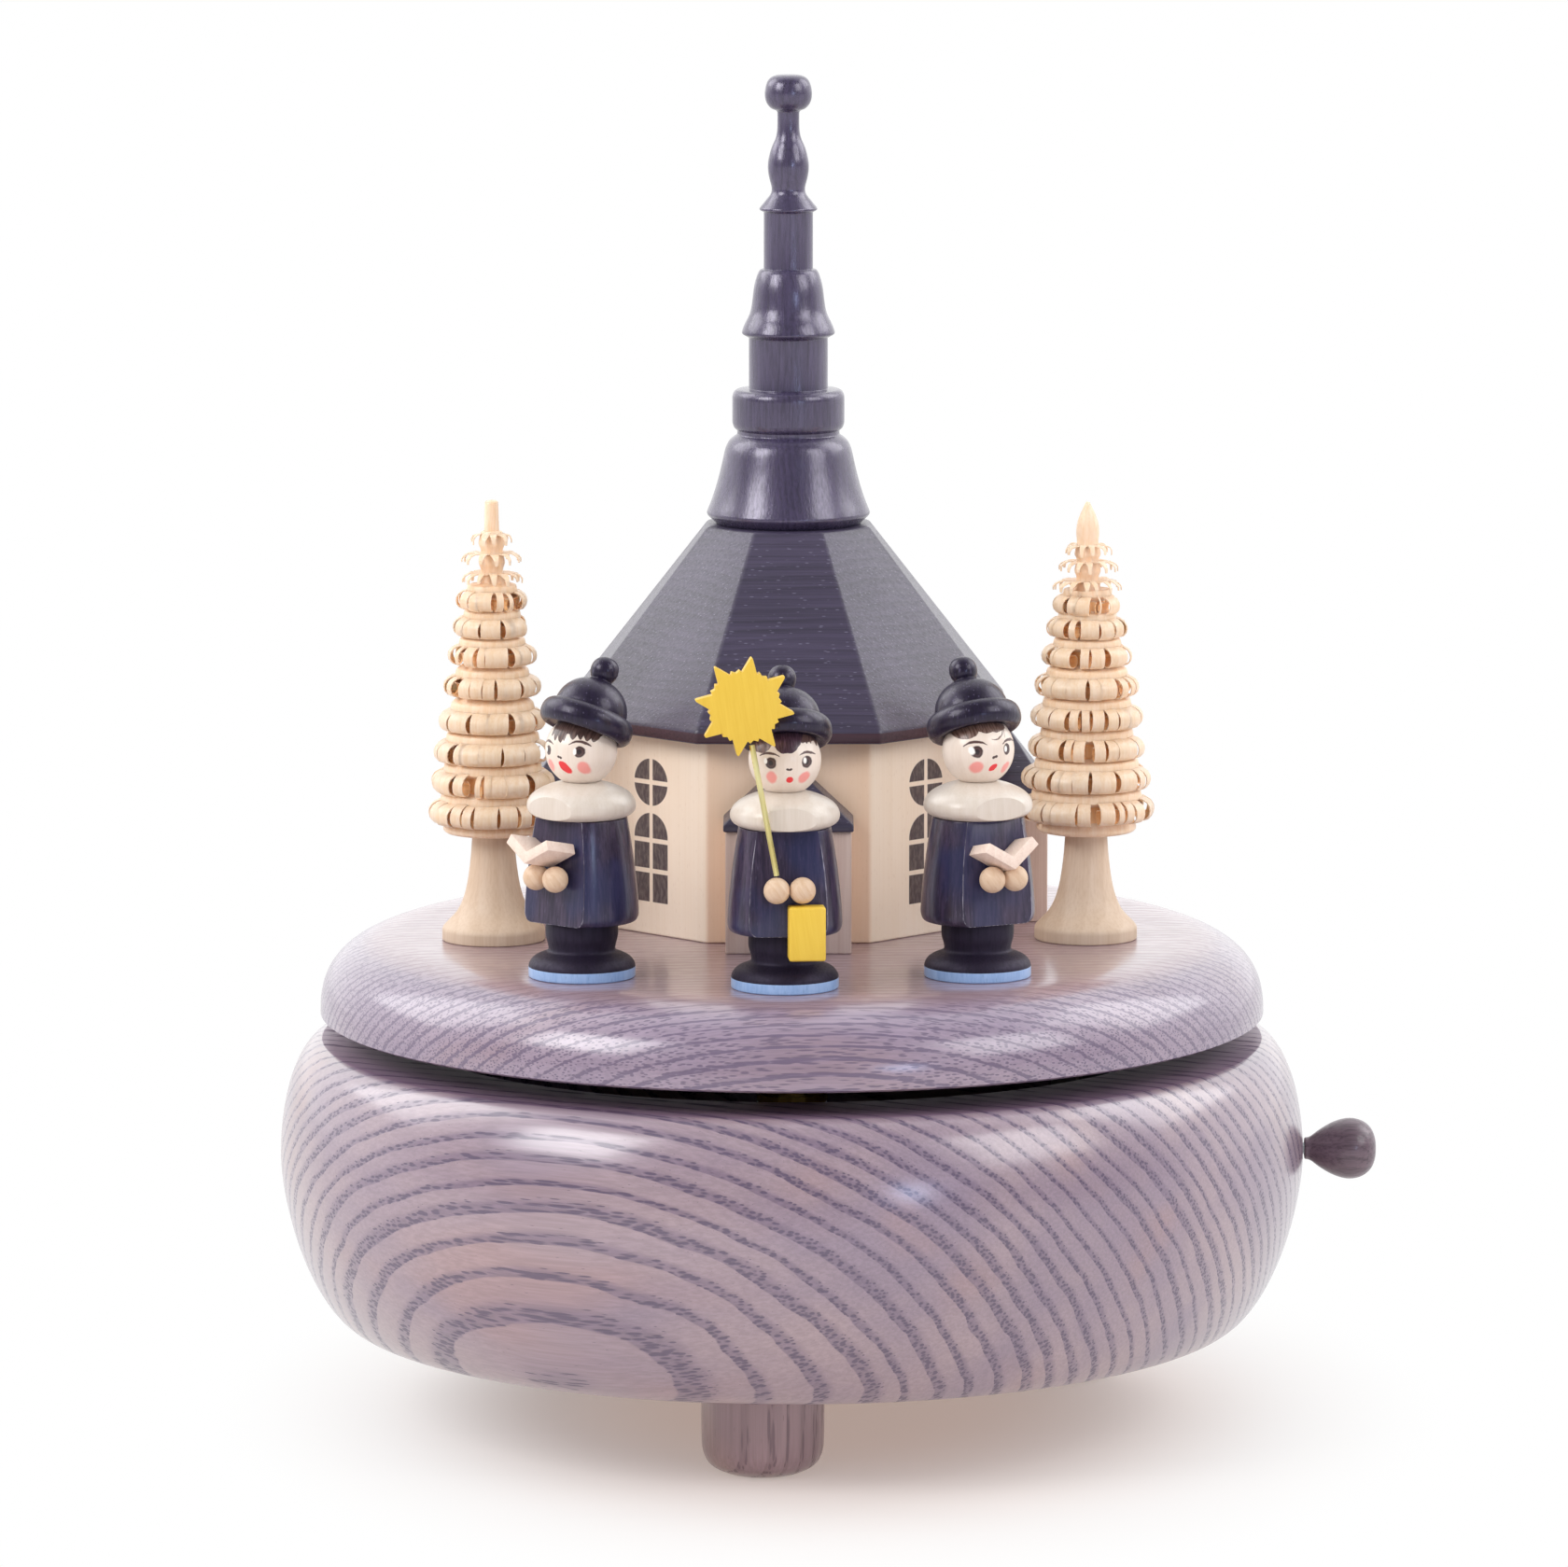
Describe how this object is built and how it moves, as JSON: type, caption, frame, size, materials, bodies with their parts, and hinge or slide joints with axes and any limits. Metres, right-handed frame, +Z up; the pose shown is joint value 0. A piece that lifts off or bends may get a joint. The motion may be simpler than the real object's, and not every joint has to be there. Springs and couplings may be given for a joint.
{
  "type": "music box",
  "caption": "wind-up wooden music box: a round footed bowl with a stop knob carries a turning plate with a church, trees and carol singers",
  "frame": {"origin": "on the surface the box stands on, under the middle of its whole width and depth; the knob at the right puts the turning axis 5.25 mm to the left of it", "axes": "+Z up along the spire, -Y is the front that the middle singer and the church's front porch face, +X towards the side with the stop knob"},
  "size_m": [0.1558, 0.1454, 0.1886],
  "materials": {
    "ash": "satin",
    "pale_wood": "matte",
    "roof_paint": "satin",
    "lime_wood": "matte",
    "coat_paint": "satin",
    "cream_paint": "satin",
    "bead_wood": "matte",
    "yellow_paint": "satin",
    "knob_paint": "gloss",
    "brass": "satin",
    "steel": "satin",
    "cast_metal": "matte"
  },
  "bodies": {
    "base": {"base_bowl": "ash", "foot_front": "ash", "foot_rear_right": "ash", "foot_rear_left": "ash", "bedplate": "cast_metal", "barrel_bridge": "steel", "comb": "steel", "comb_screw_inner": "brass", "comb_screw_outer": "brass", "governor_bracket": "brass", "mounting_screw_front": "steel", "mounting_screw_rear": "steel", "mounting_screw_outer": "steel"},
    "winder": {"winding_arbor": "steel", "winding_key": "brass"},
    "cylinder": {"pin_cylinder": "brass", "cylinder_pinion": "brass", "cylinder_gear": "brass"},
    "governor": {"governor_wheel": "brass"},
    "fly": {"worm_fly": "steel"},
    "stopper": {"stopper_wire": "steel", "stopper_knob": "knob_paint"},
    "turntable": {"turntable": "ash", "mainspring": "steel", "spring_barrel": "brass", "turntable_hub": "brass", "star_pole": "brass", "church_walls": "pale_wood", "porch_front": "pale_wood", "porch_right": "pale_wood", "porch_left": "pale_wood", "church_roof": "roof_paint", "church_spire": "roof_paint", "porch_roof_front": "roof_paint", "porch_roof_right": "roof_paint", "porch_roof_left": "roof_paint", "tree_foot_left": "lime_wood", "tree_crown_left": "lime_wood", "tree_foot_right": "lime_wood", "tree_crown_right": "lime_wood", "singer_left_body": "coat_paint", "singer_left_hat": "coat_paint", "singer_left_collar": "cream_paint", "singer_left_head": "cream_paint", "singer_left_hands": "bead_wood", "singer_centre_body": "coat_paint", "singer_centre_hat": "coat_paint", "singer_centre_collar": "cream_paint", "singer_centre_head": "cream_paint", "singer_centre_hands": "bead_wood", "singer_right_body": "coat_paint", "singer_right_hat": "coat_paint", "singer_right_collar": "cream_paint", "singer_right_head": "cream_paint", "singer_right_hands": "bead_wood", "book_left": "bead_wood", "book_right": "bead_wood", "star": "yellow_paint", "lantern": "yellow_paint"}
  },
  "joints": [
    {"name": "turntable_spin", "type": "hinge", "parent": "base", "child": "turntable", "pos_m": [-0.00525, 0, 0.0569], "axis": [0, 0, 1], "continuous": true},
    {"name": "key_wind", "type": "hinge", "parent": "base", "child": "winder", "pos_m": [-0.00525, 0, 0.008], "axis": [0, 0, 1], "continuous": true},
    {"name": "cylinder_spin", "type": "hinge", "parent": "base", "child": "cylinder", "pos_m": [-0.00525, 0, 0.0347], "axis": [1, 0, 0], "continuous": true},
    {"name": "governor_spin", "type": "hinge", "parent": "base", "child": "governor", "pos_m": [-0.00525, 0.0105, 0.0347], "axis": [1, 0, 0], "continuous": true},
    {"name": "fly_spin", "type": "hinge", "parent": "base", "child": "fly", "pos_m": [0.03625, 0.0182, 0.0347], "axis": [0, 0, 1], "continuous": true},
    {"name": "stopper_slide", "type": "slide", "parent": "base", "child": "stopper", "axis": [1, 0, 0], "range_m": [0, 0.003]}
  ],
  "couplings": [
    {"joint": "cylinder_spin", "follows": "turntable_spin", "ratio": 2.4},
    {"joint": "governor_spin", "follows": "turntable_spin", "ratio": -7.2},
    {"joint": "fly_spin", "follows": "turntable_spin", "ratio": 144}
  ]
}
